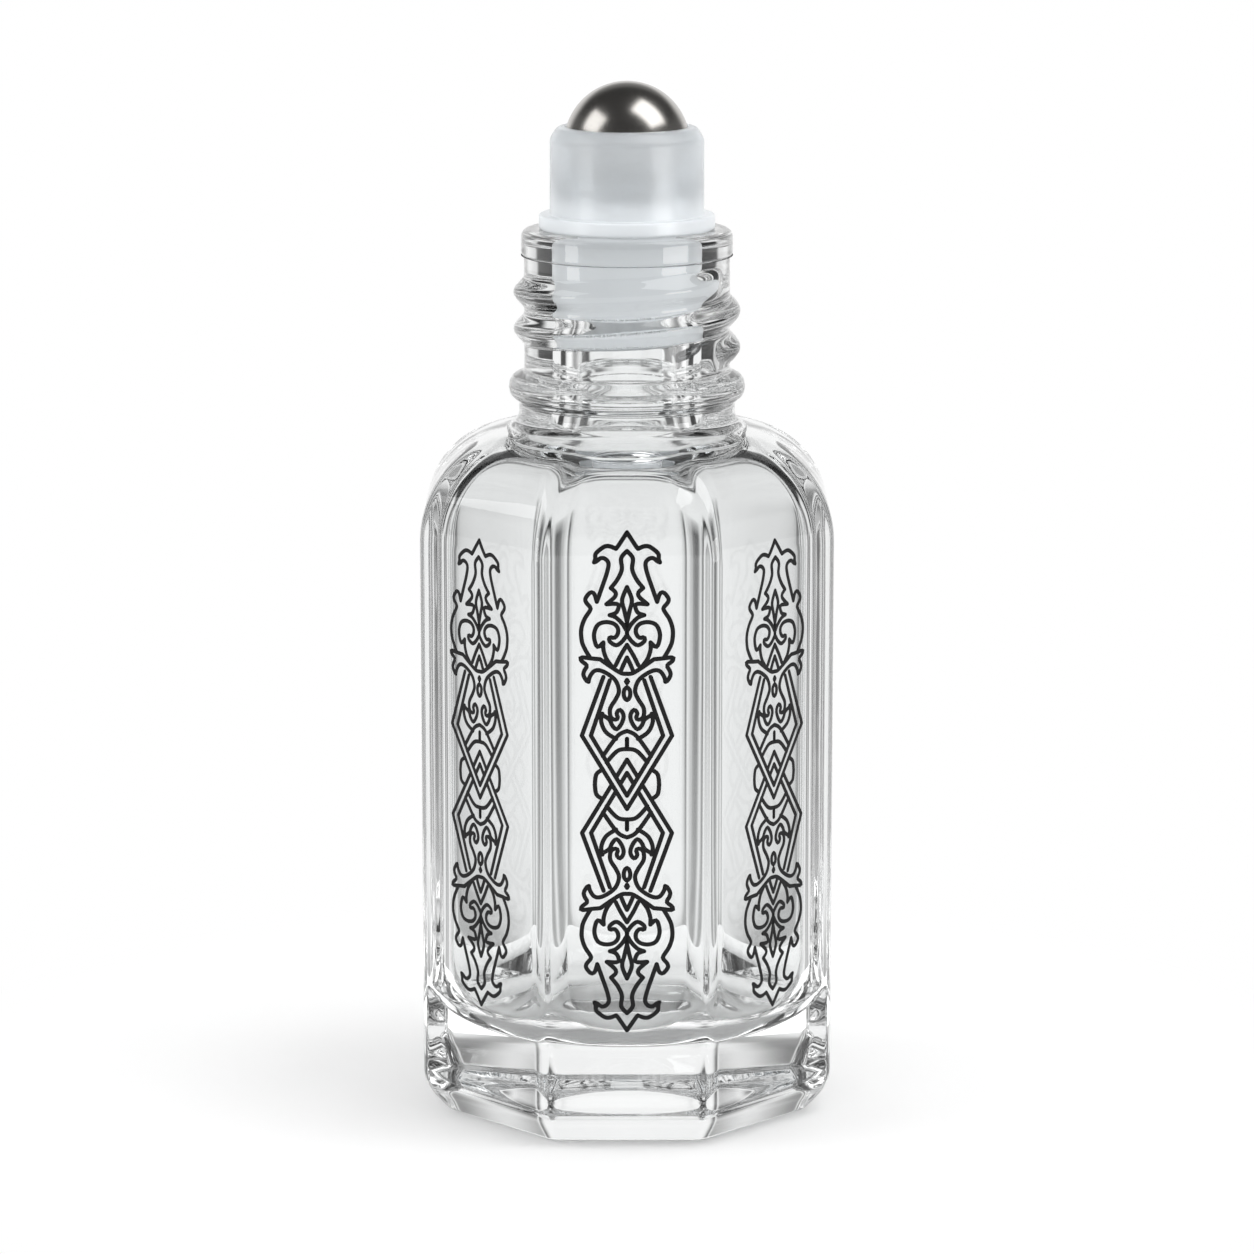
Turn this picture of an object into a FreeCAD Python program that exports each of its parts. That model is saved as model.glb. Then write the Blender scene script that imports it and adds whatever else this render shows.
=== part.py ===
import FreeCAD, Part

import math
import os

from FreeCAD import Vector

# Octagonal glass roll-on bottle: a moulded bottle, a push-in ball housing and a steel roller ball.
# Millimetres, +Z up. The origin is the middle of the base, and the front panel faces -Y.

# Glass body
FACETS = 8
BODY_ACROSS_FLATS = 26.2
BODY_HEIGHT = 44.3  # base to the top of the shoulder
BODY_EDGE_RADIUS = 1.15  # upright edges between two panels
SHOULDER_RADIUS = 6.85
HEEL_HEIGHT = 2.9
HEEL_INSET = 1.6
HEEL_RADIUS = 2.75  # rounds the panel into the bevel
PUSH_UP_DIAMETER = 14.0  # shallow hollow under the base
PUSH_UP_FLAT_DIAMETER = 8.0
PUSH_UP_DEPTH = 0.55

# Glass cavity
WALL = 2.1
BASE_THICKNESS = 5.5
CAVITY_EDGE_RADIUS = 1.5
CAVITY_ROUND_DIAMETER = 23.7  # round blank that the flat panels were pressed into
DOME_HEIGHT = 4.8  # curves the blank in under the shoulder
FLOOR_CORNER = 4.0  # curves the blank into the floor
BORE_DIAMETER = 6.2
BORE_FLARE = 2.6  # funnel that opens the bore into the cavity
MOUTH_CHAMFER = 0.35

# Glass neck
NECK_HEIGHT = 12.4  # top of the shoulder to the lip
NECK_DIAMETER = 13.1
NECK_FOOT_DIAMETER = 13.8
NECK_FOOT_FLARE = 0.9
BEAD_DIAMETER = 15.05  # ring that the bottle is carried by in the mould
BEAD_WIDTH = 2.0  # where it leaves the neck
BEAD_CREST_WIDTH = 0.9
BEAD_ABOVE_SHOULDER = 2.4
LIP_DIAMETER = 13.45
LIP_BAND = 1.65  # height of the thicker band under the lip
LIP_CHAMFER = 0.5

# Roller ball and its housing
BALL_DIAMETER = 8.0
BALL_CENTRE_ABOVE_LIP = 5.33
BALL_CLEARANCE = 0.05
HOUSING_DIAMETER = 9.8
HOUSING_RIM_ABOVE_BALL_CENTRE = 1.15  # past the ball's middle, so the ball can't fall out
CROWN_HEIGHT = 1.35
CROWN_INSET = 0.5
CROWN_BULGE = 0.14
FLANGE_DIAMETER = 11.2
FLANGE_THICKNESS = 0.95
FLANGE_CHAMFER = 0.2
SEAT_ANGLE = 52.0  # degrees below the ball's middle where its seat ends
FEED_GROOVES = 6
FEED_GROOVE_WIDTH = 0.7
FEED_GROOVE_DEPTH = 0.35
FEED_HOLE_DIAMETER = 2.0
FEED_FLOOR = 0.9  # thickness of the floor that the feed hole goes through
PLUG_LENGTH = 7.2
PLUG_CLEARANCE = 0.03
PLUG_WALL = 1.0
SEAL_BARBS = 3
SEAL_BARB_HEIGHT = 0.08
SEAL_BARB_LENGTH = 0.9
PLUG_LEAD_IN = 0.7
PLUG_TIP_WALL = 0.65

# Worked out from the sizes above
BODY_INRADIUS = BODY_ACROSS_FLATS / 2
SHOULDER_START = BODY_HEIGHT - SHOULDER_RADIUS
SHOULDER_CENTRE = BODY_INRADIUS - SHOULDER_RADIUS
CAVITY_INRADIUS = BODY_INRADIUS - WALL
CAVITY_TOP = BODY_HEIGHT - WALL
BORE_RADIUS = BORE_DIAMETER / 2
LIP_TOP = BODY_HEIGHT + NECK_HEIGHT
BALL_RADIUS = BALL_DIAMETER / 2
BALL_CENTRE = LIP_TOP + BALL_CENTRE_ABOVE_LIP
SOCKET_RADIUS = BALL_RADIUS + BALL_CLEARANCE

SHOULDER_SWEEP = 84.0  # degrees of the shoulder's curve, up to where the neck's foot covers it
SUNK = 0.25  # how far a solid reaches into the one that it is joined to or cut from
LEVEL = 0.01  # an edge that climbs less than this lies flat


def point(radius, height):
    """A point of a profile in the XZ plane."""
    return Vector(radius, 0, height)


def line(start, end):
    return Part.LineSegment(start, end).toShape()


def arc(start, middle, end):
    return Part.Arc(start, middle, end).toShape()


def profile_arc(centre, radius, start_degrees, end_degrees):
    """An arc of a profile about a centre in the XZ plane."""
    angles = [start_degrees, (start_degrees + end_degrees) / 2, end_degrees]
    turns = [math.radians(angle) for angle in angles]
    return arc(*[centre + Vector(radius * math.cos(turn), 0, radius * math.sin(turn)) for turn in turns])


def arc_about_axis(low, high):
    """The arc between two points of a profile whose centre lies on the axis. It sweeps part of a ball."""
    height = (high.x**2 + high.z**2 - low.x**2 - low.z**2) / (2 * (high.z - low.z))
    radius = math.hypot(low.x, low.z - height)
    angles = [math.degrees(math.atan2(spot.z - height, spot.x)) for spot in (low, high)]
    return profile_arc(point(0, height), radius, *angles)


def revolved(edges):
    """The solid that a closed profile in the XZ plane sweeps about the Z axis."""
    face = Part.Face(Part.Wire(edges))
    return face.revolve(Vector(0, 0, 0), Vector(0, 0, 1), 360)


def turned(*corners):
    """The solid that a profile of straight runs sweeps about the Z axis."""
    ends = corners[1:] + corners[:1]
    return revolved([line(start, end) for start, end in zip(corners, ends)])


def joined(shapes):
    """One solid from solids that share faces or run into each other."""
    whole = shapes[0].multiFuse(shapes[1:])
    return whole.removeSplitter().Solids[0]


def crossed_walls(half_profile):
    """What crossed walls of one symmetric profile share: a solid with equal panels all round."""
    mirrored = [edge.mirror(Vector(0, 0, 0), Vector(1, 0, 0)) for edge in half_profile]
    face = Part.Face(Part.Wire(Part.sortEdges(half_profile + mirrored)[0]))
    wall = face.extrude(Vector(0, 2 * BODY_ACROSS_FLATS, 0))
    wall.translate(Vector(0, -BODY_ACROSS_FLATS, 0))
    shared = wall
    for turn in range(1, FACETS // 2):
        crossing = wall.copy()
        crossing.rotate(Vector(0, 0, 0), Vector(0, 0, 1), 360 / FACETS * turn)
        shared = shared.common(crossing)
    return shared


def with_rounded_edges(panelled, radius):
    """Rounds the edges that run up between the panels."""
    rising = [edge for edge in panelled.Edges if edge.BoundBox.ZLength > LEVEL]
    return panelled.makeFillet(radius, rising)


def body_outside():
    """Panels that curve in over the shoulder and run down to a bevelled heel, with rounded edges between them."""
    lean = heel_lean()
    sweep = math.radians(SHOULDER_SWEEP)
    heel_centre = point(BODY_INRADIUS - HEEL_RADIUS, HEEL_HEIGHT)
    shoulder_centre = point(SHOULDER_CENTRE, SHOULDER_START)
    base = point(BODY_INRADIUS - HEEL_INSET, 0)
    bevel_top = heel_centre + point(math.cos(lean), -math.sin(lean)) * HEEL_RADIUS
    top = shoulder_centre + point(math.cos(sweep), math.sin(sweep)) * SHOULDER_RADIUS
    half_profile = [
        line(point(0, 0), base),
        line(base, bevel_top),
        profile_arc(heel_centre, HEEL_RADIUS, -math.degrees(lean), 0),
        line(point(BODY_INRADIUS, HEEL_HEIGHT), point(BODY_INRADIUS, SHOULDER_START)),
        profile_arc(shoulder_centre, SHOULDER_RADIUS, 0, SHOULDER_SWEEP),
        line(top, point(0, top.z)),
    ]
    return with_rounded_edges(crossed_walls(half_profile), BODY_EDGE_RADIUS)


def heel_lean():
    """Angle from upright at which the heel's rounding runs tangent into the straight bevel."""
    inward = HEEL_INSET - HEEL_RADIUS
    to_centre = math.atan2(HEEL_HEIGHT, inward)
    beside = math.asin(HEEL_RADIUS / math.hypot(HEEL_HEIGHT, inward))
    return math.pi / 2 - (to_centre - beside)


def neck_outside():
    """Neck, carrying bead and lip, with a foot that runs out on the shoulder."""
    neck = NECK_DIAMETER / 2
    foot = NECK_FOOT_DIAMETER / 2
    bead = BEAD_DIAMETER / 2
    lip = LIP_DIAMETER / 2
    skirt = foot + NECK_FOOT_FLARE
    lean = math.acos((skirt - SHOULDER_CENTRE) / SHOULDER_RADIUS)
    skirt_height = SHOULDER_START + SHOULDER_RADIUS * math.sin(lean)
    buried = skirt_height - SHOULDER_RADIUS / 2
    bead_height = BODY_HEIGHT + BEAD_ABOVE_SHOULDER
    return turned(
        point(0, buried),
        point(skirt, buried),
        point(skirt, skirt_height),
        point(foot, skirt_height + NECK_FOOT_FLARE),
        point(foot, bead_height - BEAD_WIDTH / 2),
        point(bead, bead_height - BEAD_CREST_WIDTH / 2),
        point(bead, bead_height + BEAD_CREST_WIDTH / 2),
        point(neck, bead_height + BEAD_WIDTH / 2),
        point(neck, LIP_TOP - LIP_BAND),
        point(lip, LIP_TOP - LIP_BAND),
        point(lip, LIP_TOP - LIP_CHAMFER),
        point(lip - LIP_CHAMFER, LIP_TOP),
        point(0, LIP_TOP),
    )


def cavity():
    """The space inside the glass: flat panels pressed into a round blank, so that they end in arches."""
    low = point(0, BASE_THICKNESS - SUNK)
    high = point(0, CAVITY_TOP + SUNK)
    side = Vector(CAVITY_INRADIUS, 0, 0)
    half_profile = [line(low, low + side), line(low + side, high + side), line(high + side, high)]
    panels = with_rounded_edges(crossed_walls(half_profile), CAVITY_EDGE_RADIUS)
    return joined([panels.common(round_blank()), bore()])


def round_blank():
    """The round form inside the glass, with a curved floor corner and a dome under the shoulder."""
    side = CAVITY_ROUND_DIAMETER / 2
    floor_edge = point(side - FLOOR_CORNER, BASE_THICKNESS)
    wall_low = point(side, BASE_THICKNESS + FLOOR_CORNER)
    wall_high = point(side, CAVITY_TOP - DOME_HEIGHT)
    dome_edge = point(BORE_RADIUS + BORE_FLARE, CAVITY_TOP)
    edges = [
        line(point(0, BASE_THICKNESS), floor_edge),
        arc_about_axis(floor_edge, wall_low),
        line(wall_low, wall_high),
        arc_about_axis(wall_high, dome_edge),
        line(dome_edge, point(0, CAVITY_TOP)),
        line(point(0, CAVITY_TOP), point(0, BASE_THICKNESS)),
    ]
    return revolved(edges)


def bore():
    """The neck's bore, with a funnel into the cavity below and a chamfer at the mouth."""
    funnel = BORE_RADIUS + BORE_FLARE
    below = CAVITY_TOP - SUNK
    return turned(
        point(0, below),
        point(funnel, below),
        point(funnel, CAVITY_TOP),
        point(BORE_RADIUS, CAVITY_TOP + BORE_FLARE),
        point(BORE_RADIUS, LIP_TOP - MOUTH_CHAMFER),
        point(BORE_RADIUS + MOUTH_CHAMFER, LIP_TOP),
        point(0, LIP_TOP),
    )


def push_up():
    """The shallow hollow under the base, with a sloping side and a flat middle."""
    outside = PUSH_UP_DIAMETER / 2
    flat = PUSH_UP_FLAT_DIAMETER / 2
    return turned(
        point(0, -SUNK),
        point(outside, -SUNK),
        point(outside, 0),
        point(flat, PUSH_UP_DEPTH),
        point(0, PUSH_UP_DEPTH),
    )


def glass_bottle():
    outside = body_outside().fuse(neck_outside())
    return outside.cut(cavity()).cut(push_up()).Solids[0]


def ball_housing():
    """Flange on the lip, barrel round the ball with a rim past its middle, and a barbed plug in the bore."""
    flange = FLANGE_DIAMETER / 2
    flange_top = LIP_TOP + FLANGE_THICKNESS
    well = BALL_CENTRE - SOCKET_RADIUS - BALL_CLEARANCE
    collar = turned(
        point(0, LIP_TOP),
        point(flange - FLANGE_CHAMFER, LIP_TOP),
        point(flange, LIP_TOP + FLANGE_CHAMFER),
        point(flange, flange_top - FLANGE_CHAMFER),
        point(flange - FLANGE_CHAMFER, flange_top),
        point(0, flange_top),
    )
    seat_hollow = Part.makeCompound([socket(well), feed_hole(well)] + feed_grooves(well))
    return joined([barrel(), collar, plug()]).cut(seat_hollow).Solids[0]


def barrel():
    """The part round the ball, solid, with its crown drawn in towards the rim."""
    side = HOUSING_DIAMETER / 2
    rim = BALL_CENTRE + HOUSING_RIM_ABOVE_BALL_CENTRE
    crown_low = point(side, rim - CROWN_HEIGHT)
    crown_high = point(side - CROWN_INSET, rim)
    crown_middle = (crown_low + crown_high) / 2 + Vector(CROWN_BULGE, 0, CROWN_BULGE)
    return turned(
        point(0, LIP_TOP),
        point(side, LIP_TOP),
        crown_low,
        crown_middle,
        crown_high,
        point(0, rim),
    )


def plug():
    """The hollow plug, with barbs that grip the bore and a tip that leads it in."""
    side = BORE_RADIUS - PLUG_CLEARANCE - SEAL_BARB_HEIGHT
    tip = LIP_TOP - PLUG_LENGTH
    lowest = tip + PLUG_LEAD_IN
    spacing = (LIP_TOP - MOUTH_CHAMFER - lowest) / SEAL_BARBS
    profile = [
        point(0, LIP_TOP + SUNK),
        point(0, tip),
        point(side - PLUG_WALL + PLUG_TIP_WALL, tip),
        point(side, lowest),
    ]
    for barb in range(SEAL_BARBS):
        foot = lowest + spacing * (barb + 0.5) - SEAL_BARB_LENGTH / 2
        profile.append(point(side, foot))
        profile.append(point(side + SEAL_BARB_HEIGHT, foot + SEAL_BARB_LENGTH))
        profile.append(point(side, foot + SEAL_BARB_LENGTH))
    profile.append(point(side, LIP_TOP + SUNK))
    return turned(*profile)


def socket(well):
    """The hollow that holds the ball: its rounded seat, open at the rim, and the well under it."""
    rim = HOUSING_RIM_ABOVE_BALL_CENTRE
    seat_end = math.radians(SEAT_ANGLE)
    seat_radius = SOCKET_RADIUS * math.cos(seat_end)
    seat_foot = BALL_CENTRE - SOCKET_RADIUS * math.sin(seat_end)
    rim_radius = math.sqrt(SOCKET_RADIUS**2 - rim**2)
    rim_angle = math.degrees(math.asin(rim / SOCKET_RADIUS))
    edges = [
        line(point(0, well), point(seat_radius, well)),
        line(point(seat_radius, well), point(seat_radius, seat_foot)),
        profile_arc(point(0, BALL_CENTRE), SOCKET_RADIUS, -SEAT_ANGLE, rim_angle),
        line(point(rim_radius, BALL_CENTRE + rim), point(0, BALL_CENTRE + rim)),
        line(point(0, BALL_CENTRE + rim), point(0, well)),
    ]
    return revolved(edges)


def feed_hole(well):
    """The way for the liquid, up the hollow plug and through the floor under the ball."""
    plug_inner = BORE_RADIUS - PLUG_CLEARANCE - SEAL_BARB_HEIGHT - PLUG_WALL
    feed = FEED_HOLE_DIAMETER / 2
    tip = LIP_TOP - PLUG_LENGTH
    return turned(
        point(0, tip),
        point(plug_inner, tip),
        point(plug_inner, well - FEED_FLOOR),
        point(feed, well - FEED_FLOOR),
        point(feed, well),
        point(0, well),
    )


def feed_grooves(well):
    """Channels up the ball's seat that carry the liquid from the feed hole."""
    reach = SOCKET_RADIUS + FEED_GROOVE_DEPTH
    ring = Part.makeSphere(reach, Vector(0, 0, BALL_CENTRE))
    grooves = []
    for groove in range(FEED_GROOVES):
        slot = Part.makeBox(reach, FEED_GROOVE_WIDTH, BALL_CENTRE - well)
        slot.translate(Vector(0, -FEED_GROOVE_WIDTH / 2, well))
        slot.rotate(Vector(0, 0, 0), Vector(0, 0, 1), 360 * groove / FEED_GROOVES)
        grooves.append(slot.common(ring))
    return grooves


def roller_ball():
    return Part.makeSphere(BALL_RADIUS, Vector(0, 0, BALL_CENTRE))


def main():
    os.makedirs("parts", exist_ok=True)
    pieces = {
        "glass_bottle": glass_bottle(),
        "ball_housing": ball_housing(),
        "roller_ball": roller_ball(),
    }
    for name, shape in pieces.items():
        shape.exportStep(f"parts/{name}.step")
        print(name, "solids", len(shape.Solids), "valid", shape.isValid(), "volume", round(shape.Volume, 1))
    print("brimful capacity in ml", round(cavity().Volume / 1000, 2))


main()
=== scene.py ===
import math

import bpy
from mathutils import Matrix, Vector


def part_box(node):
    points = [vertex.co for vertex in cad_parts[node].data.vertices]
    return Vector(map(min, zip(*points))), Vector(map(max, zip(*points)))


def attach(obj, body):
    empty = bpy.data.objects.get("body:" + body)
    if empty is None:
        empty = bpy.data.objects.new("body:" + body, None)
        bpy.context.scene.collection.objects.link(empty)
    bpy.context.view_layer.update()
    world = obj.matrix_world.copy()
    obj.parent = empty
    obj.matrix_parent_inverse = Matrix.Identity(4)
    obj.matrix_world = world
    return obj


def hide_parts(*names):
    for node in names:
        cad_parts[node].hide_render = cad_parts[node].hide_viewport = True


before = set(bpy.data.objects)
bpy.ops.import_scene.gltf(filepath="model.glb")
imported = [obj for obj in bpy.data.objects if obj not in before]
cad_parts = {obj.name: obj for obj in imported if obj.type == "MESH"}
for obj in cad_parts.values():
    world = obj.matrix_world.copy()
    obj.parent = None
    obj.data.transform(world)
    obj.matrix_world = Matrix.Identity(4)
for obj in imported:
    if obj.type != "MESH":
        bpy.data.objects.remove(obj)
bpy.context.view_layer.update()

# An octagonal glass roll-on bottle: threaded glass, printed ornament, ball housing, steel ball and stage.
# Metres, +Z up. The front panel faces -Y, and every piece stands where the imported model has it.

bl_info = {
    "name": "Roll-on bottle",
    "version": (1, 0, 0),
    "blender": (4, 5, 0),
    "location": "3D View > Sidebar > Bottle",
    "description": "Builds the glass, ornament, ball housing, ball and stage of an octagonal roll-on bottle",
    "category": "Object",
}

MM = 0.001
FACETS = 8
HALF_FACET = math.pi / FACETS
TRAITS = ("edge_radius", "round_limit", "threaded", "grooved")
NO_LIMIT = 1.0
INK_MM = 0.012
WHITE = (1, 1, 1, 1)
GLASS_LOW, GLASS_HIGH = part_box("glass_bottle")
BALL_LOW, BALL_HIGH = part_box("roller_ball")

# How finely the meshes are divided: columns of one facet, and points along an edge of the ball's cube
GLASS_COLUMNS = 34
HOUSING_COLUMNS = 24
BALL_DIVISIONS = 48
# Share of even spacing that is left at the middle of an edge, where the glass's columns crowd together
EDGE_CROWDING = 0.25
# How softly a pressed panel of the cavity runs into the round blank
PANEL_BLEND = 0.4 * MM
# How slowly the shoulder's edges soften: higher keeps them tight for longer
SOFTENING_POWER = 2.5
# The thread's ridge: below 1 makes its crest broader, and its ends rise within this share of a turn
RIDGE_FULLNESS = 0.7
THREAD_RUN_OUT = 0.1
# Share of a feed groove's width from its middle to where its flank starts
GROOVE_FLAT = 0.35
# The prints beside the front one are a little smaller and lie a little lower
SIDE_PRINT_SCALE = (0.9, 1, 0.945)
SIDE_PRINT_DROP = (0, 0, -0.28 * MM)

# The right half of the ornament's upper half, in millimetres across and up from its middle.
# It is mirrored both ways.
ORNAMENT_STROKES = {
    "finial": [(0, 15.87), (0.53, 15.08), (0.68, 14.89)],
    "top volute": [(0.68, 14.89), (1.07, 15.04), (1.42, 15.0), (1.92, 14.6), (1.95, 14.27), (2.03, 14.05)],
    "volute stem": [
        (2.03, 14.05), (1.85, 14.13), (1.63, 14.31), (1.35, 14.27),
        (1.14, 13.98), (1.24, 13.39), (1.53, 12.52), (1.86, 11.57),
    ],
    "side leaf": [
        (1.86, 11.57), (2.03, 12.08), (2.27, 12.15), (2.56, 11.79), (2.52, 11.53), (2.26, 11.2),
        (2.31, 10.98), (2.63, 10.47), (2.83, 9.81), (2.79, 9.08), (2.59, 8.57), (2.27, 8.02),
    ],
    "inner stem": [(0, 14.75), (0.36, 14.31), (0.32, 13.61), (0.6, 12.96), (1.0, 12.44)],
    "upper tooth": [(1.0, 12.44), (0.7, 12.15), (0.77, 11.86), (1.27, 11.42)],
    "middle tooth": [(1.27, 11.42), (0.55, 11.41), (0.65, 10.91), (1.07, 10.73)],
    "lower tooth": [(1.07, 10.73), (0.68, 10.58), (0.28, 10.18), (0.06, 9.81)],
    "leaf": [(0, 12.5), (0.3, 11.7), (0.16, 11.0), (0, 10.3)],
    "leaf vein": [(0, 10.3), (0, 9.48)],
    "heart volute": [
        (0, 9.48), (0.32, 9.05), (0.68, 8.83), (1.07, 9.08), (1.07, 9.34), (0.78, 9.3), (0.57, 9.56),
        (0.57, 9.92), (0.85, 10.21), (1.35, 10.29), (1.81, 10.11), (2.03, 9.59), (1.99, 9.08),
        (1.81, 8.72), (1.46, 9.01),
    ],
    "bowl side": [(1.46, 8.97), (1.46, 8.57), (1.28, 7.99), (0.92, 7.47)],
    "upper chevron": [(0, 8.86), (0.39, 8.2), (0.71, 7.55)],
    "lower chevron": [(0, 8.06), (0.21, 7.62), (0.39, 7.18)],
    "band top": [(0, 7.03), (0.36, 7.07), (1.0, 7.47), (1.67, 7.95)],
    "claw": [
        (1.67, 7.95), (2.13, 7.99), (2.84, 8.06), (2.81, 7.84), (2.49, 7.55),
        (2.63, 7.25), (2.7, 6.96), (2.52, 6.6), (2.38, 6.52),
    ],
    "band and spiral": [
        (2.38, 6.52), (2.31, 6.82), (2.06, 7.18), (1.71, 7.25), (1.21, 7.03), (0.71, 6.6), (0.5, 5.96),
        (0.68, 5.45), (1.03, 4.86), (1.03, 4.35), (0.82, 4.13), (0.57, 4.2), (0.64, 4.53), (0.43, 4.75),
        (0.21, 4.39), (0.32, 3.91), (0.64, 3.51), (0.92, 3.76), (1.1, 4.13), (1.53, 4.42),
    ],
    "bead": [(0, 6.64), (0.07, 6.54), (0, 6.44)],
    "drop": [(0, 6.18), (0.17, 6.0), (0.2, 5.7), (0.12, 5.45), (0, 5.36)],
    "bowl": [(1.53, 4.5), (1.6, 3.98), (1.31, 3.33), (0.68, 2.89)],
    "upper arch": [(0, 3.4), (0.45, 3.2), (0.85, 2.75), (1.5, 1.8)],
    "arch tie": [(0, 2.9), (0, 2.3)],
    "lower arch": [(0, 2.25), (0.45, 2.2), (0.8, 1.95), (1.27, 1.4)],
    "side loop": [(1.5, 0.95), (1.9, 0.65), (2.0, 0)],
}
# Straight straps with sharp corners, mirrored left to right only: the upper strap runs over the lower one.
ORNAMENT_STRAPS = {
    "upper strap outside": [(1.46, 6.83), (2.8, 3.11), (0, -1.58)],
    "upper strap inside": [(1.07, 6.61), (2.24, 3.11), (0, -0.73)],
    "lower strap outside": [(1.46, -6.83), (2.8, -3.11), (0.93, 0)],
    "lower strap inside": [(1.07, -6.61), (2.24, -3.11), (0.68, -0.44)],
    "lower strap's far outside": [(0.68, 0.44), (0, 1.58)],
    "lower strap's far inside": [(0.43, 0), (0, 0.73)],
}

CARD_TOP = 160 * MM
# Brightness of a light panel of the surround, from behind the middle of a face at 0 to behind an edge at 1
PANEL_LIGHT = (
    (0, 0.95), (0.24, 0.92), (0.4, 0.75), (0.54, 0.45),
    (0.64, 0.12), (0.72, 0.03), (0.82, 0.03), (1, 0.75),
)
# Brightness round the neck, from behind and in front at 0 to the sides at 1, with dark flags between
FLAG_LIGHT = (
    (0, 0.95), (0.28, 0.95), (0.33, 0.06), (0.35, 0.02), (0.48, 0.02),
    (0.53, 0.7), (0.66, 0.9), (0.8, 0.2), (1, 0.9),
)
# Heights between which the panels give way to the flags
FLAG_RISE = (28 * MM, 34 * MM)
# Light in the dark gaps by share of the surround's height: softest near the floor
GAP_LIGHT = ((0, 0.4), (0.02, 0.28), (0.08, 0.16), (0.25, 0))
# Brightness by share of the surround's height: a dark band above the neck draws its thread and bead
BAND_LIGHT = ((0, 1), (0.36, 1), (0.42, 0.05), (0.8, 0.05), (1, 0.6))
# Light that has met more surfaces than this has wandered about in the thick base and misses the band
WANDERED = 6.5
# Light strips in front: turn to the right and half the width in degrees, and strength
LIGHT_STRIPS = {"right_strip": (54, 15, 5.0), "left_strip": (-62, 8, 4.0)}
# Soft boxes: place, width and height in metres, and how many times the lamp power
SOFT_BOXES = {
    "left_soft_box": ((-0.323, -0.068, 0.288), 0.26, 0.22, 1),
    "right_soft_box": ((0.222, -0.08, 0.385), 0.26, 0.34, 2),
}
# Clearness of the housing's plastic by height in millimetres: plug, flange and the wall round the ball
PLASTIC_CLEARNESS = ((56.5, 0.45), (56.9, 0.25), (57.8, 0.3), (59.2, 0.74))


def linear(colour):
    """A linear RGB colour from an sRGB hex value."""
    parts = [int(colour[i : i + 2], 16) / 255 for i in (1, 3, 5)]
    return [part / 12.92 if part <= 0.04045 else ((part + 0.055) / 1.055) ** 2.4 for part in parts]


def number(name, description, default, **kind):
    """A number that a user can change."""
    return bpy.props.FloatProperty(name=name, description=description, default=default, **kind)


def length(name, description, millimetres):
    """A size that a user can change, given in millimetres and kept in metres."""
    return number(name, description, millimetres * MM, unit="LENGTH", precision=5)


def swatch(name, description, colour):
    """A colour that a user can change."""
    return bpy.props.FloatVectorProperty(
        name=name, description=description, default=linear(colour), subtype="COLOR", size=3, min=0, max=1
    )


class GlassSettings(bpy.types.PropertyGroup):
    """Sizes and colour of the moulded glass"""

    across_flats: length(
        "Across flats", "Body width between opposite panels", (GLASS_HIGH.x - GLASS_LOW.x) / MM - 2 * INK_MM
    )
    edge_radius: length("Edge radius", "Round of the upright edges between two panels", 1.15)
    shoulder_top: length("Shoulder top", "Height at which the shoulder's curve would end", 44.3)
    shoulder_radius: length("Shoulder radius", "Curve of the panels over the shoulder", 6.85)
    heel_inset: length("Heel inset", "How far the base lies inside the panels", 1.6)
    heel_height: length("Heel height", "Height at which the bevel would meet the panel", 1.89)
    heel_round: length("Heel round", "How far from that corner its rounding starts", 1.0)
    hollow_diameter: length("Hollow", "Shallow hollow under the base", 14.0)
    hollow_flat: length("Hollow's flat", "Flat middle of that hollow", 8.0)
    hollow_depth: length("Hollow's depth", "Rise of that hollow", 0.55)
    wall: length("Wall", "Thickness of the glass at a panel", 2.1)
    base_thickness: length("Base thickness", "Glass under the cavity", 5.5)
    cavity_edge_radius: length("Cavity edge radius", "Round of the cavity's upright edges", 2.3)
    blank_diameter: length("Round blank", "Round form that the cavity's panels are pressed into", 23.7)
    floor_corner: length("Floor corner", "How far from its corner the blank curves into the floor", 5.5)
    bore_diameter: length("Bore", "Bore of the neck", 6.2)
    bore_flare: length("Bore flare", "Funnel from the bore into the cavity", 2.6)
    neck_diameter: length("Neck", "Neck under the thread", 13.1)
    foot_diameter: length("Neck foot", "Neck under the carrying bead", 13.8)
    foot_fillet: length("Foot fillet", "Fillet between the neck and the shoulder", 0.9)
    bead_diameter: length("Bead", "Carrying bead round the neck", 15.05)
    bead_height: length("Bead height", "Height of the bead's middle", 46.7)
    lip_diameter: length("Lip", "Thicker band under the mouth", 13.45)
    lip_band: length("Lip band", "Height of that band", 1.65)
    lip_top: length("Lip top", "Height of the mouth", GLASS_HIGH.z / MM)
    thread_diameter: length("Thread", "Outside of the thread", 14.45)
    thread_pitch: length("Thread pitch", "Rise of the thread in one turn", 2.34)
    thread_width: length("Thread width", "Foot of the thread's ridge", 2.1)
    thread_top: length("Thread top", "Height at which the thread starts", 53.72)
    thread_turns: number("Thread turns", "Length of the thread", 2.06)
    thread_start: number(
        "Thread start", "Where the thread starts, from +X towards +Y", math.radians(-20), subtype="ANGLE"
    )
    colour: swatch("Glass", "Tint of the clear glass", "#FAFBFB")


class OrnamentSettings(bpy.types.PropertyGroup):
    """Place, line and colour of the printed ornament"""

    middle_height: length("Middle", "Height of the ornament's middle", 23.58)
    line_width: length("Line width", "Width of a printed line", 0.28)
    proud: length("Ink thickness", "How far the ink stands out of the glass", INK_MM)
    colour: swatch("Ink", "Black of the fired ink", "#0D0D0E")


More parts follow.
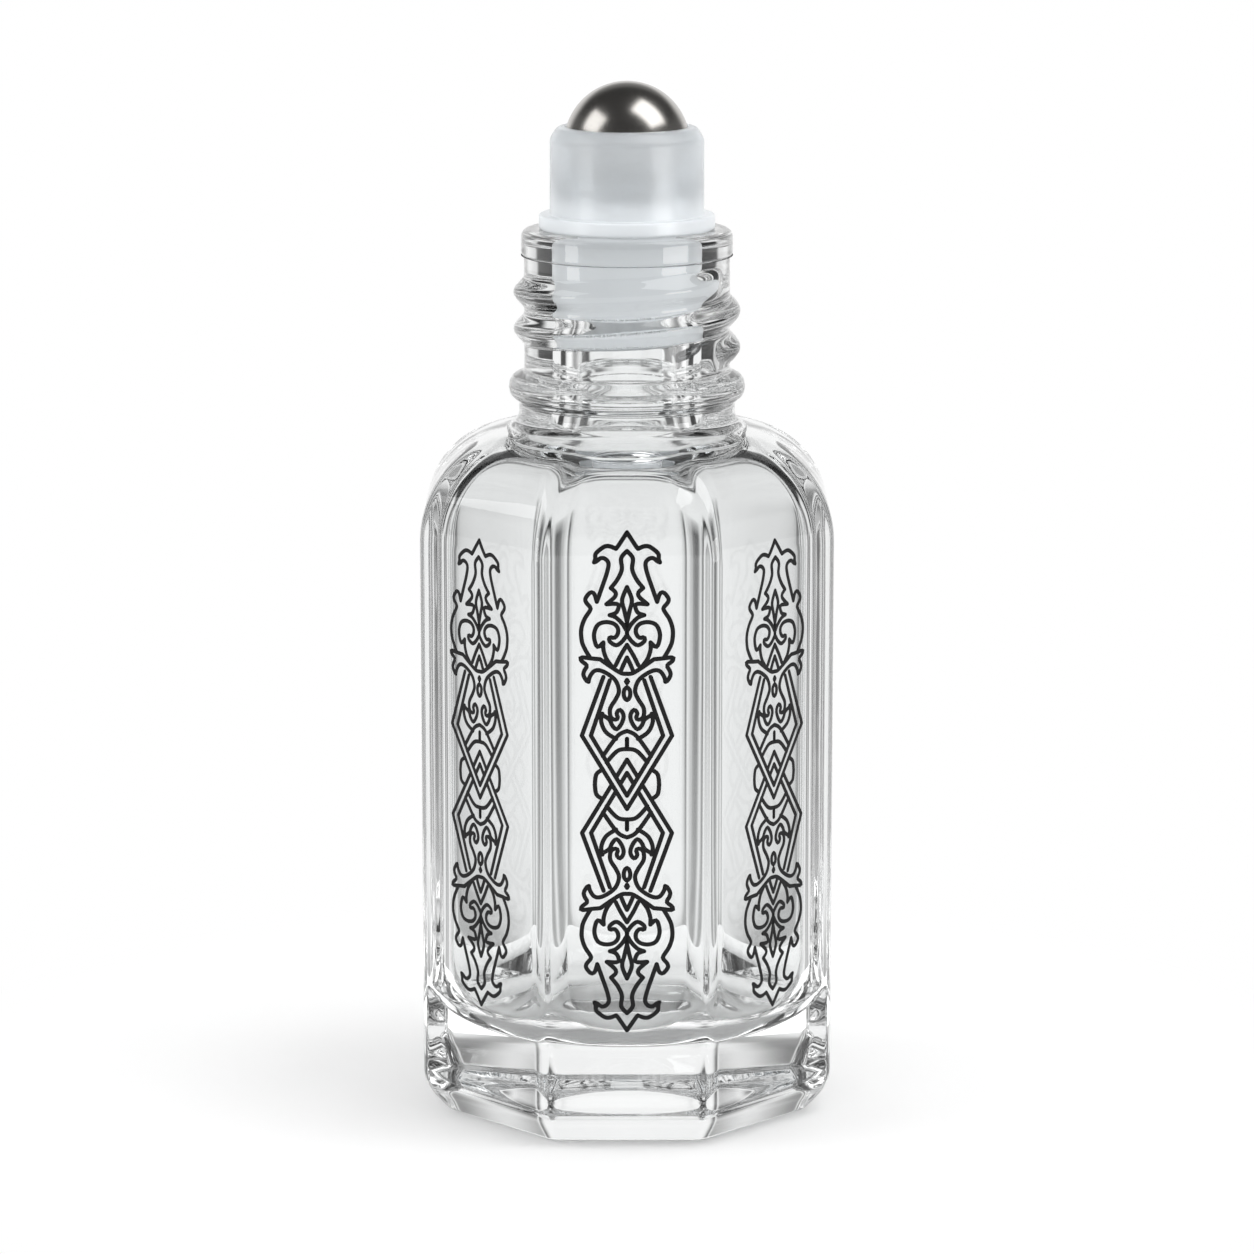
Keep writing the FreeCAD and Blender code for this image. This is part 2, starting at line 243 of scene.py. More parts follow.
class HousingSettings(bpy.types.PropertyGroup):
    """Sizes and colour of the plastic ball housing"""

    barrel_diameter: length("Barrel", "Barrel round the ball", 9.8)
    rim_above_ball: length("Rim", "Rim above the ball's middle", 1.15)
    crown_height: length("Crown height", "Drawn-in part under the rim", 1.35)
    crown_inset: length("Crown inset", "How far the crown draws in", 0.5)
    flange_diameter: length("Flange", "Flange that lies on the lip", 11.2)
    flange_thickness: length("Flange thickness", "Height of the flange", 0.95)
    ball_clearance: length("Ball clearance", "Room round the ball", 0.05)
    plug_length: length("Plug length", "Part inside the bore", 7.2)
    plug_squeeze: length("Plug squeeze", "How far the soft plug presses into the bore", 0.012)
    plug_wall: length("Plug wall", "Wall of the hollow plug", 1.0)
    barb_height: length("Barb height", "How far a sealing barb stands out", 0.02)
    feed_hole: length("Feed hole", "Hole under the ball", 2.0)
    groove_depth: length("Groove depth", "Feed grooves in the ball's seat", 0.35)
    groove_width: length("Groove width", "Width of a feed groove", 0.7)
    grooves: bpy.props.IntProperty(name="Grooves", description="Number of feed grooves", default=6, min=0)
    colour: swatch("Plastic", "Natural polyethylene", "#EEF2F5")


class BallSettings(bpy.types.PropertyGroup):
    """Size and colour of the steel ball"""

    diameter: length("Diameter", "Diameter of the ball", (BALL_HIGH.z - BALL_LOW.z) / MM)
    height: length("Height", "Height of the ball's middle", (BALL_HIGH.z + BALL_LOW.z) / 2 / MM)
    colour: swatch("Steel", "Polished bearing steel", "#B9B6B2")


class StageSettings(bpy.types.PropertyGroup):
    """Floor, lamps and camera"""

    floor_colour: swatch("Floor", "Pale paper floor", "#E8E8E8")
    lamp_power: number("Lamp power", "Power of the left soft box", 0.36, unit="POWER")
    camera_distance: length("Camera distance", "Camera in front of the bottle's axis", 320.7)
    camera_height: length("Camera height", "Camera above the floor", 96.2)
    aim_height: length("Aim height", "Height that the camera looks at", 30.9)
    lens: number("Lens", "Focal length in millimetres", 145.84)


def fill(tree, node, sockets):
    """Sets inputs of a node, by name or place, to numbers, colours, nodes or outputs of nodes."""
    for place, value in sockets.items():
        socket = node.inputs[place]
        if isinstance(value, bpy.types.Node):
            value = next(output for output in value.outputs if output.enabled)
        if isinstance(value, bpy.types.NodeSocket):
            tree.links.new(value, socket)
        else:
            socket.default_value = value


def add(tree, kind, *values, **settings):
    """Adds a node. Values fill its inputs in order, a dict fills them by name, and settings are its own."""
    node = tree.nodes.new(kind)
    for name, setting in settings.items():
        setattr(node, name, setting)
    for place, value in enumerate(values):
        fill(tree, node, value if isinstance(value, dict) else {place: value})
    return node


def math_nodes(tree):
    """A short way to add math nodes to one tree."""

    def maths(operation, *values):
        return add(tree, "ShaderNodeMath", *values, operation=operation)

    return maths


def ranged(tree, value, start=(0, 1), end=(0, 1), kind="LINEAR"):
    """A value carried from one range to another, and held at its ends."""
    limits = {"From Min": start[0], "From Max": start[1], "To Min": end[0], "To Max": end[1]}
    return add(tree, "ShaderNodeMapRange", value, limits, interpolation_type=kind)


def join(tree, *parts):
    """Several geometries as one."""
    joined = add(tree, "GeometryNodeJoinGeometry")
    for part in parts:
        fill(tree, joined, {0: part})
    return joined


def shape_tree(name, numbers, counts=()):
    """An empty geometry tree with named numbers and counts besides its geometry and its material."""
    tree = bpy.data.node_groups.new(name, "GeometryNodeTree")
    tree.is_modifier = True
    kinds = {"Geometry": "Geometry", "Material": "Material"}
    kinds.update({socket: "Float" for socket in numbers})
    kinds.update({socket: "Int" for socket in counts})
    for socket, kind in kinds.items():
        tree.interface.new_socket(socket, in_out="INPUT", socket_type="NodeSocket" + kind)
    tree.interface.new_socket("Geometry", in_out="OUTPUT", socket_type="NodeSocketGeometry")
    return tree, add(tree, "NodeGroupInput").outputs


def end_tree(tree, given, geometry):
    """Closes a geometry tree: one real mesh, smooth, in the material that it was given."""
    smooth = add(tree, "GeometryNodeSetShadeSmooth", {"Geometry": geometry})
    real = add(tree, "GeometryNodeRealizeInstances", smooth)
    painted = add(tree, "GeometryNodeSetMaterial", {"Geometry": real, "Material": given["Material"]})
    add(tree, "NodeGroupOutput", painted)


def grown(name, seed, tree, values):
    """The plain mesh object that a geometry tree makes from a seed mesh."""
    source = bpy.data.objects.new(name + "_seed", seed)
    bpy.context.scene.collection.objects.link(source)
    modifier = source.modifiers.new(tree.name, "NODES")
    modifier.node_group = tree
    for item in tree.interface.items_tree:
        if item.in_out == "INPUT" and item.name in values:
            modifier[item.identifier] = values[item.name]
    evaluated = source.evaluated_get(bpy.context.evaluated_depsgraph_get())
    mesh = bpy.data.meshes.new_from_object(evaluated)
    source.modifiers.remove(modifier)
    bpy.data.objects.remove(source)
    if not mesh.polygons:
        raise RuntimeError(f"{name} came out without faces")
    mesh.name = name
    piece = bpy.data.objects.new(name, mesh)
    bpy.context.scene.collection.objects.link(piece)
    return piece


def wall_tree():
    """A wall swept round the axis from a profile: at each height a rounded octagon or a circle."""
    numbers = [
        "Edge Crowding", "Thread Height", "Thread Width", "Thread Pitch", "Thread Turns", "Thread Top",
        "Thread Start", "Groove Count", "Groove Depth", "Groove Width",
    ]
    tree, given = shape_tree("Swept wall", numbers, ["Columns"])
    maths = math_nodes(tree)
    profile = given["Geometry"]
    points = add(tree, "GeometryNodeAttributeDomainSize", profile)
    across = maths("ADD", given["Columns"], 1.0)
    grid = add(tree, "GeometryNodeMeshGrid", {"Vertices X": points, "Vertices Y": across})
    index = add(tree, "GeometryNodeInputIndex")
    row = maths("FLOOR", maths("DIVIDE", index, across))
    column = maths("SUBTRACT", index, maths("MULTIPLY", row, across))

    def of_row(value, kind):
        """What the profile says about this row."""
        sample = {"Geometry": profile, "Value": value, "Index": row}
        return add(tree, "GeometryNodeSampleIndex", sample, data_type=kind)

    traits = {}
    for trait in TRAITS:
        named = add(tree, "GeometryNodeInputNamedAttribute", {"Name": trait}, data_type="FLOAT")
        traits[trait] = of_row(named, "FLOAT")
    row_spot = of_row(add(tree, "GeometryNodeInputPosition"), "FLOAT_VECTOR")
    row_parts = add(tree, "ShaderNodeSeparateXYZ", row_spot).outputs
    inradius, height = row_parts["X"], row_parts["Z"]

    # The angle of this column: each sector runs from the middle of one panel over an edge to the next
    around = maths("DIVIDE", column, given["Columns"])
    sector = maths("MULTIPLY", around, float(FACETS))
    edge = maths("ADD", maths("FLOOR", sector), 0.5)
    beside = maths("MULTIPLY", maths("SUBTRACT", sector, edge), 2.0)
    square = maths("MULTIPLY", beside, beside)
    spread = maths("SUBTRACT", 1.0, given["Edge Crowding"])
    eased = maths("MULTIPLY_ADD", square, spread, given["Edge Crowding"])
    swing_share = maths("MULTIPLY", beside, eased)
    swing = maths("MULTIPLY", swing_share, HALF_FACET)
    angle = maths("MULTIPLY_ADD", edge, 2 * HALF_FACET, swing)

    # The radius of a rounded edge about its own centre, and of a flat panel
    centre_inradius = maths("SUBTRACT", inradius, traits["edge_radius"])
    centre = maths("DIVIDE", centre_inradius, math.cos(HALF_FACET))
    along = maths("MULTIPLY", centre, maths("COSINE", swing))
    aside = maths("MULTIPLY", centre, maths("SINE", swing))
    round_square = maths("MULTIPLY", traits["edge_radius"], traits["edge_radius"])
    aside_square = maths("MULTIPLY", aside, aside)
    left_over = maths("SUBTRACT", round_square, aside_square)
    chord = maths("SQRT", maths("MAXIMUM", left_over, 0.0))
    edge_distance = maths("ADD", along, chord)
    from_middle = maths("SUBTRACT", HALF_FACET, maths("ABSOLUTE", swing))
    panel_distance = maths("DIVIDE", inradius, maths("COSINE", from_middle))
    panel_place = maths("MULTIPLY", inradius, maths("TANGENT", from_middle))
    half_flat = maths("MULTIPLY", centre, math.sin(HALF_FACET))
    on_panel = maths("LESS_THAN", panel_place, half_flat)
    choice = {"Switch": on_panel, "False": edge_distance, "True": panel_distance}
    panelled = add(tree, "GeometryNodeSwitch", choice, input_type="FLOAT")
    wall = maths("SMOOTH_MIN", panelled, traits["round_limit"], PANEL_BLEND)

    # The thread: turns run down from its start, and the ridge is highest where a turn passes this height
    full_turn = 2 * math.pi
    fallen = maths("SUBTRACT", given["Thread Top"], height)
    drop = maths("DIVIDE", fallen, given["Thread Pitch"])
    back = maths("SUBTRACT", given["Thread Start"], angle)
    first = maths("FRACT", maths("DIVIDE", back, full_turn))
    rounds = maths("ROUND", maths("SUBTRACT", drop, first))
    turned = maths("ADD", first, rounds)
    off_crest = maths("MULTIPLY", maths("SUBTRACT", drop, turned), given["Thread Pitch"])
    off_share = maths("DIVIDE", off_crest, given["Thread Width"])
    in_ridge = maths("MINIMUM", maths("ABSOLUTE", off_share), 0.5)
    wave = maths("COSINE", maths("MULTIPLY", in_ridge, full_turn))
    bump = maths("MULTIPLY_ADD", wave, 0.5, 0.5)
    ridge = maths("POWER", bump, RIDGE_FULLNESS)
    to_end = maths("SUBTRACT", given["Thread Turns"], turned)
    nearest_end = maths("MINIMUM", turned, to_end)
    rise = ranged(tree, nearest_end, (0, THREAD_RUN_OUT), kind="SMOOTHSTEP")
    ridge_height = maths("MULTIPLY", maths("MULTIPLY", ridge, rise), given["Thread Height"])
    threaded_wall = maths("MULTIPLY_ADD", ridge_height, traits["threaded"], wall)

    # The feed grooves: even channels that reach outwards from the ball's seat
    groove_turn = maths("MULTIPLY_ADD", around, given["Groove Count"], 0.5)
    groove_share = maths("SUBTRACT", maths("FRACT", groove_turn), 0.5)
    groove_spacing = maths("DIVIDE", full_turn, given["Groove Count"])
    groove_swing = maths("MULTIPLY", groove_share, groove_spacing)
    groove_aside = maths("MULTIPLY", maths("ABSOLUTE", groove_swing), wall)
    groove_edge = maths("MULTIPLY", given["Groove Width"], GROOVE_FLAT)
    groove_end = maths("MULTIPLY", given["Groove Width"], 0.5)
    channel = ranged(tree, groove_aside, (groove_edge, groove_end), (1, 0), "SMOOTHSTEP")
    channel_depth = maths("MULTIPLY", channel, given["Groove Depth"])
    radius = maths("MULTIPLY_ADD", channel_depth, traits["grooved"], threaded_wall)

    place_x = maths("MULTIPLY", radius, maths("COSINE", angle))
    place_y = maths("MULTIPLY", radius, maths("SINE", angle))
    place = add(tree, "ShaderNodeCombineXYZ", place_x, place_y, height)
    swept = add(tree, "GeometryNodeSetPosition", {"Geometry": grid, "Position": place})
    weld_distance = 0.002 * MM
    closed = add(tree, "GeometryNodeMergeByDistance", {"Geometry": swept, "Distance": weld_distance})
    end_tree(tree, given, closed)
    return tree


def arc(centre, radius, start, end, count):
    """Points of a profile on an arc, from one angle to another in degrees."""
    angles = [math.radians(start + (end - start) * step / count) for step in range(count + 1)]
    return [(centre[0] + radius * math.cos(a), centre[1] + radius * math.sin(a)) for a in angles]


def spaced(start, end, step):
    """Even points of a profile on a straight run."""
    count = math.ceil(math.dist(start, end) / step)
    low, high = Vector(start), Vector(end)
    return [tuple(low.lerp(high, share / count)) for share in range(count + 1)]


def rounded(*corners):
    """A profile of straight runs. Each corner gives how far from it its rounding starts."""
    guard = 0.1 * MM
    spacing, fewest = 0.2 * MM, 7
    points = [corners[0][:2]]
    for before, corner, after in zip(corners, corners[1:], corners[2:]):
        tip = Vector(corner[:2])
        back = (Vector(before[:2]) - tip).normalized()
        onward = (Vector(after[:2]) - tip).normalized()
        reach = corner[2]
        steps = max(fewest, round(reach / spacing))
        points.append(tuple(tip + back * (reach + guard)))
        for step in range(steps + 1):
            share = step / steps
            points.append(tuple(tip + back * reach * (1 - share) ** 2 + onward * reach * share**2))
        points.append(tuple(tip + onward * (reach + guard)))
    points.append(corners[-1][:2])
    return points


def rows(points, edge_radius, threaded=0.0, grooved=0.0):
    """Profile points with what the sweep has to know about each."""
    return [(x, z, edge_radius(x), NO_LIMIT, threaded, grooved) for x, z in points]


def pressed_rows(points, inradius, edge_radius):
    """Profile points of a round form, with the distance of the panels that are pressed into it."""
    return [(inradius(z), z, edge_radius, x, 0.0, 0.0) for x, z in points]


def as_circle(inradius):
    return inradius


def softening(full, edge_radius, round_inradius):
    """Edges that are tight on the panels and soften until the octagon has turned into a circle."""

    def edge(inradius):
        share = min(max((full - inradius) / (full - round_inradius), 0), 1)
        return edge_radius + (inradius - edge_radius) * share**SOFTENING_POWER

    return edge


def profile_mesh(name, profile):
    """A line of points in the XZ plane that carries each row's traits."""
    mesh = bpy.data.meshes.new(name)
    steps = [(i, i + 1) for i in range(len(profile) - 1)]
    mesh.from_pydata([(x, 0, z) for x, z, *_ in profile], steps, [])
    for column, trait in enumerate(TRAITS, start=2):
        layer = mesh.attributes.new(trait, "FLOAT", "POINT")
        layer.data.foreach_set("value", [row[column] for row in profile])
    return mesh


def glass_profile(glass):
    """From the cavity's floor up the inside, over the lip and down the outside to the base's hollow."""
    guard = 0.12 * MM
    panel = glass.across_flats / 2
    shoulder_centre = (panel - glass.shoulder_radius, glass.shoulder_top - glass.shoulder_radius)
    blank = glass.blank_diameter / 2
    cavity_top = glass.shoulder_top - glass.wall
    bore = glass.bore_diameter / 2
    inner = panel - glass.wall
    vault_radius = glass.shoulder_radius - glass.wall
    vault_start = shoulder_centre[1]
    funnel = shoulder_centre[0]
    lip = glass.lip_diameter / 2
    band_foot = glass.lip_top - glass.lip_band
    neck = glass.neck_diameter / 2
    foot = glass.foot_diameter / 2
    bead = glass.bead_diameter / 2

    floor_run = rounded(
        (0, glass.base_thickness),
        (blank, glass.base_thickness, glass.floor_corner),
        (blank, vault_start),
    )
    vault = []
    vault_steps, vault_end = 25, math.radians(80)
    for step in range(1, vault_steps + 1):
        lean = vault_end * step / vault_steps
        across, up = (blank - funnel) * math.cos(lean), vault_radius * math.sin(lean)
        vault.append((funnel + across, vault_start + up))
    flare = rounded(vault[-2], (*vault[-1], 0.05 * MM), (bore + 0.5 * MM, cavity_top + 0.9 * MM, 0.7 * MM))
    cavity = floor_run + vault + flare[2:]

    def pressed_panel(height):
        climb = min(max(height - vault_start, 0), vault_radius)
        return inner - vault_radius + math.sqrt(vault_radius**2 - climb**2)

    mouth = rounded(
        cavity[-1],
        (bore, cavity_top + glass.bore_flare, 1.2 * MM),
        (bore, glass.lip_top, 0.35 * MM),
        (lip, glass.lip_top, 0.55 * MM),
        (lip, band_foot, 0.2 * MM),
        (neck, band_foot, 0.08 * MM),
        (neck, band_foot - 0.3 * MM),
    )[2:]
    bead_reach, bead_flat, thread_step = 1.0 * MM, 0.5 * MM, 0.075 * MM
    bead_top = glass.bead_height + bead_reach
    bead_foot = glass.bead_height - bead_reach
    thread_run = spaced((neck, band_foot - 0.36 * MM), (neck, bead_top + 0.4 * MM), thread_step)

    fillet_x = foot + glass.foot_fillet
    reach = glass.shoulder_radius + glass.foot_fillet
    lean = math.degrees(math.acos((fillet_x - shoulder_centre[0]) / reach))
    fillet_z = shoulder_centre[1] + reach * math.sin(math.radians(lean))
    bead_run = rounded(
        (neck, bead_top + 0.34 * MM),
        (neck, bead_top, 0.2 * MM),
        (bead, glass.bead_height + bead_flat, 0.48 * MM),
        (bead, glass.bead_height - bead_flat, 0.38 * MM),
        (foot, bead_foot, 0.22 * MM),
        (foot, fillet_z + guard),
    )
    foot_run = arc((fillet_x, fillet_z), glass.foot_fillet, 180, 180 + lean, count=10)
    shoulder_run = arc(shoulder_centre, glass.shoulder_radius, lean, 0, count=26)[1:]

    base = panel - glass.heel_inset
    heel_run = rounded(
        (panel, shoulder_centre[1] - guard),
        (panel, glass.heel_height, glass.heel_round),
        (base, 0, 0.3 * MM),
        (base - 0.8 * MM, 0),
    )
    hollow = glass.hollow_diameter / 2
    hollow_run = rounded(
        (hollow + 0.9 * MM, 0),
        (hollow, 0, 0.5 * MM),
        (glass.hollow_flat / 2, glass.hollow_depth, 0.8 * MM),
        (0, glass.hollow_depth),
    )

    def even_edges(inradius):
        return glass.edge_radius

    return (
        pressed_rows(cavity, pressed_panel, glass.cavity_edge_radius)
        + rows(mouth, as_circle)
        + rows(thread_run, as_circle, threaded=1.0)
        + rows(bead_run + foot_run, as_circle)
        + rows(shoulder_run, softening(panel, glass.edge_radius, foot))
        + rows(heel_run, even_edges)
        + rows(hollow_run, as_circle)
    )


def housing_profile(housing, glass, ball):
    """A closed line: from the rim down the outside, up the inside of the plug and over the ball's seat."""
    lip_gap, feed_length, tip_height = 0.015 * MM, 0.9 * MM, 0.7 * MM
    lip = glass.lip_top + lip_gap
    socket = ball.diameter / 2 + housing.ball_clearance
    well = ball.height - socket - housing.ball_clearance
    feed = housing.feed_hole / 2
    feed_foot = well - feed_length
    side = glass.bore_diameter / 2 + housing.plug_squeeze
    hollow = side - housing.plug_wall
    tip = glass.lip_top - housing.plug_length
    lowest = tip + tip_height
    barb = side + housing.barb_height
    barrel = housing.barrel_diameter / 2
    flange = housing.flange_diameter / 2
    flange_top = glass.lip_top + housing.flange_thickness
    rim = ball.height + housing.rim_above_ball
    crown = barrel - housing.crown_inset
    rim_angle = math.degrees(math.asin(housing.rim_above_ball / socket))
    rim_inside = socket * math.cos(math.radians(rim_angle))
    seat_end, seat_steps, groove_top = 52, 30, 17
    crown_bend, hairline = 0.55, 0.02 * MM

    seat = arc((0, ball.height), socket, rim_angle, -seat_end, seat_steps)
    shell = rounded(
        (rim_inside + 0.05 * MM, rim),
        (crown, rim, 0.3 * MM),
        (barrel, rim - housing.crown_height * crown_bend, 0.3 * MM),
        (barrel - hairline, rim - housing.crown_height, 0.03 * MM),
        (barrel, flange_top, 0.1 * MM),
        (flange, flange_top, 0.2 * MM),
        (flange, lip, 0.18 * MM),
        (side, lip, 0.1 * MM),
        (side, lip - 0.4 * MM),
    )
    barb_length, barb_crest, barb_round = 0.98 * MM, 0.86 * MM, 0.02 * MM
    mouth_round, below_middle = 0.35 * MM, 0.45 * MM
    spacing = (glass.lip_top - mouth_round - lowest) / 3
    barbs = []
    for place in (2.5, 1.5, 0.5):
        barb_foot = lowest + spacing * place - below_middle
        barb_top = barb_foot + barb_length
        barbs += [(side, barb_top), (barb - barb_round, barb_top - 2 * barb_round)]
        barbs += [(barb, barb_foot + barb_crest), (side, barb_foot)]
    inside = rounded(
        (side, lowest + 0.2 * MM),
        (side, lowest, 0.15 * MM),
        (side - 0.35 * MM, tip, 0.12 * MM),
        (hollow, tip, 0.12 * MM),
        (hollow, feed_foot, 0.2 * MM),
        (feed, feed_foot, 0.1 * MM),
        (feed, well, 0.1 * MM),
        (seat[-1][0], well, 0.15 * MM),
        seat[-1],
    )
    return (
        rows(shell + barbs + inside, as_circle)
        + rows(seat[-2:groove_top:-1], as_circle, grooved=1.0)
        + rows(seat[groove_top::-1], as_circle)
        + rows(shell[:1], as_circle)
    )


def ball_tree():
    """A ball from an evenly divided cube, so that it has no poles."""
    tree, given = shape_tree("Lapped ball", ["Radius", "Height"], ["Divisions"])
    divisions = {"Vertices " + axis: given["Divisions"] for axis in "XYZ"}
    cube = add(tree, "GeometryNodeMeshCube", divisions)
    place = add(tree, "GeometryNodeInputPosition")
    outward = add(tree, "ShaderNodeVectorMath", place, operation="NORMALIZE")
    scaled = {"Vector": outward, "Scale": given["Radius"]}
    sized = add(tree, "ShaderNodeVectorMath", scaled, operation="SCALE")
    lift = add(tree, "ShaderNodeCombineXYZ", {"Z": given["Height"]})
    ball = add(tree, "GeometryNodeSetPosition", {"Geometry": cube, "Position": sized, "Offset": lift})
    end_tree(tree, given, ball)
    return tree


def ornament_tree():
    """Pen strokes mirrored both ways, laid on the front panel and its neighbours as raised lines of ink."""
    numbers = [
        "Line Width", "Proud", "Step", "Middle", "Panel Distance", "Shoulder Start", "Shoulder Radius",
    ]
    tree, given = shape_tree("Printed ornament", numbers)
    maths = math_nodes(tree)
    strokes = add(tree, "GeometryNodeMeshToCurve", {"Mesh": given["Geometry"]})
    smooth = add(tree, "GeometryNodeCurveSplineType", {"Curve": strokes}, spline_type="CATMULL_ROM")
    spaced_out = {"Curve": smooth, "Length": given["Step"]}
    evened = add(tree, "GeometryNodeResampleCurve", spaced_out, mode="LENGTH")
    repeated = add(tree, "GeometryNodeInputNamedAttribute", {"Name": "repeated_below"}, data_type="BOOLEAN")
    chosen = {"Geometry": evened, "Selection": repeated}
    upper = add(tree, "GeometryNodeSeparateGeometry", chosen, domain="POINT")
    half = join(tree, evened, add(tree, "GeometryNodeTransform", upper, {"Scale": (1, 1, -1)}))
    whole = join(tree, half, add(tree, "GeometryNodeTransform", half, {"Scale": (-1, 1, 1)}))

    pen_radius = maths("MULTIPLY", given["Line Width"], 0.5)
    pen = add(tree, "GeometryNodeCurvePrimitiveCircle", {"Resolution": 8, "Radius": pen_radius})
    lines = add(tree, "GeometryNodeCurveToMesh", {"Curve": whole, "Profile Curve": pen, "Fill Caps": True})
    dot = add(tree, "GeometryNodeMeshUVSphere", {"Segments": 10, "Rings": 6, "Radius": pen_radius})
    ends = add(tree, "GeometryNodeCurveEndpointSelection")
    dots = add(tree, "GeometryNodeInstanceOnPoints", {"Points": whole, "Selection": ends, "Instance": dot})
    drawn = join(tree, lines, add(tree, "GeometryNodeRealizeInstances", dots))

    # The panel is flat up to the shoulder and follows the shoulder's arc above it
    parts = add(tree, "ShaderNodeSeparateXYZ", add(tree, "GeometryNodeInputPosition")).outputs
    height = maths("ADD", parts["Z"], given["Middle"])
    above = maths("SUBTRACT", height, given["Shoulder Start"])
    climb = maths("MAXIMUM", above, 0.0)
    climb_square = maths("MULTIPLY", climb, climb)
    arc_square = maths("MULTIPLY", given["Shoulder Radius"], given["Shoulder Radius"])
    bulge = maths("SQRT", maths("SUBTRACT", arc_square, climb_square))
    centre = maths("SUBTRACT", given["Panel Distance"], given["Shoulder Radius"])
    surface = maths("ADD", centre, bulge)
    flatten = maths("DIVIDE", given["Proud"], pen_radius)
    relief = maths("MULTIPLY", parts["Y"], flatten)
    depth = maths("SUBTRACT", relief, surface)
    place = add(tree, "ShaderNodeCombineXYZ", parts["X"], depth, height)

    panels = []
    for side in (-1, 0, 1):
        change = {"Scale": SIDE_PRINT_SCALE, "Translation": SIDE_PRINT_DROP} if side else {}
        sized = add(tree, "GeometryNodeTransform", drawn, change)
        laid = add(tree, "GeometryNodeSetPosition", {"Geometry": sized, "Position": place})
        panels.append(add(tree, "GeometryNodeTransform", laid, {"Rotation": (0, 0, side * 2 * HALF_FACET)}))
    end_tree(tree, given, join(tree, *panels))
    return tree


def stroke_mesh():
    """The ornament's strokes as lines of points in the XZ plane, marked where they are repeated below."""
    lines = [(stroke, True) for stroke in ORNAMENT_STROKES.values()]
    for strap in ORNAMENT_STRAPS.values():
        lines += [(pair, False) for pair in zip(strap, strap[1:])]
    points, steps, marks = [], [], []
    for line, repeated in lines:
        first = len(points)
        points += [(x * MM, 0, z * MM) for x, z in line]
        steps += [(i, i + 1) for i in range(first, len(points) - 1)]
        marks += [repeated] * len(line)
    mesh = bpy.data.meshes.new("ornament_strokes")
    mesh.from_pydata(points, steps, [])
    mesh.attributes.new("repeated_below", "BOOLEAN", "POINT").data.foreach_set("value", marks)
    return mesh


def surface_material(name):
    """A new material, its node tree and its empty Principled shader."""
    material = bpy.data.materials.new(name)
    material.use_nodes = True
    tree = material.node_tree
    tree.nodes.clear()
    shader = add(tree, "ShaderNodeBsdfPrincipled")
    add(tree, "ShaderNodeOutputMaterial", {"Surface": shader})
    place = add(tree, "ShaderNodeTexCoord").outputs["Object"]
    return material, tree, shader, place


def show(tree, shader):
    """Makes a material show another shader than the one it began with."""
    output = next(node for node in tree.nodes if node.type == "OUTPUT_MATERIAL")
    fill(tree, output, {"Surface": shader})


def noise(tree, place, size, detail):
    """Noise with patches of about the given size."""
    pattern = {"Vector": place, "Scale": 1 / size, "Detail": detail}
    return add(tree, "ShaderNodeTexNoise", pattern).outputs["Fac"]


def two_colours(tree, share, first, second):
    """A colour between two others."""
    ramp = add(tree, "ShaderNodeValToRGB", share)
    for element, colour in zip(ramp.color_ramp.elements, (first, second)):
        element.color = [*colour, 1]
    return ramp


def grey_ramp(tree, share, steps, kind="EASE"):
    """A ramp of greys through (share, grey) steps."""
    ramp = add(tree, "ShaderNodeValToRGB", share)
    ramp.color_ramp.interpolation = kind
    while len(ramp.color_ramp.elements) < len(steps):
        ramp.color_ramp.elements.new(1.0)
    for element, (position, grey) in zip(ramp.color_ramp.elements, steps):
        element.position = position
        element.color = (grey, grey, grey, 1)
    return ramp.outputs[0]


def flint_glass(glass):
    """Moulded flint glass: clear and fire-polished, with the slow waves that a mould leaves."""
    material, tree, shader, place = surface_material("Moulded flint glass")
    wave_length, wave_height = 6 * MM, 0.012 * MM
    waves = noise(tree, place, wave_length, 1.0)
    look = {
        "Base Color": [*glass.colour, 1],
        "IOR": 1.52,
        "Transmission Weight": 1.0,
        "Normal": add(tree, "ShaderNodeBump", {"Height": waves, "Strength": 1.0, "Distance": wave_height}),
        "Roughness": ranged(tree, waves, end=(0, 0.015)),
    }
    fill(tree, shader, look)
    return material


def ceramic_ink(ornament):
    """Screen-printed black ceramic ink, fired on: nearly matt, uneven where the screen's threads were."""
    material, tree, shader, place = surface_material("Fired black ceramic ink")
    thread_spacing = 0.15 * MM
    brighter, greyer = 1.8, 0.004
    grain = noise(tree, place, thread_spacing, 2.0)
    thin = [min(1.0, part * brighter + greyer) for part in ornament.colour]
    look = {
        "IOR": 1.5,
        "Specular IOR Level": 0.2,
        "Base Color": two_colours(tree, grain, ornament.colour, thin),
        "Roughness": ranged(tree, grain, end=(0.35, 0.55)),
    }
    fill(tree, shader, look)
    return material


def natural_polyethylene(housing):
    """Moulded natural polyethylene: milky in the flange, clearer in the plug and round the ball."""
    material, tree, shader, place = surface_material("Moulded natural polyethylene")
    maths = math_nodes(tree)
    cloud_size, cloud_shade = 2.5 * MM, 0.97
    clouds = noise(tree, place, cloud_size, 2.0)
    cloudy = [part * cloud_shade for part in housing.colour]
    ramp_height = 100
    height = add(tree, "ShaderNodeSeparateXYZ", place).outputs["Z"]
    share = maths("DIVIDE", height, ramp_height * MM)
    steps = [(level / ramp_height, clearness) for level, clearness in PLASTIC_CLEARNESS]
    look = {
        "IOR": 1.51,
        "Coat Weight": 0.5,
        "Coat Roughness": 0.24,
        "Transmission Weight": grey_ramp(tree, share, steps, "LINEAR"),
        "Base Color": two_colours(tree, clouds, cloudy, housing.colour),
        "Roughness": ranged(tree, clouds, end=(0.34, 0.42)),
    }
    fill(tree, shader, look)
    return material


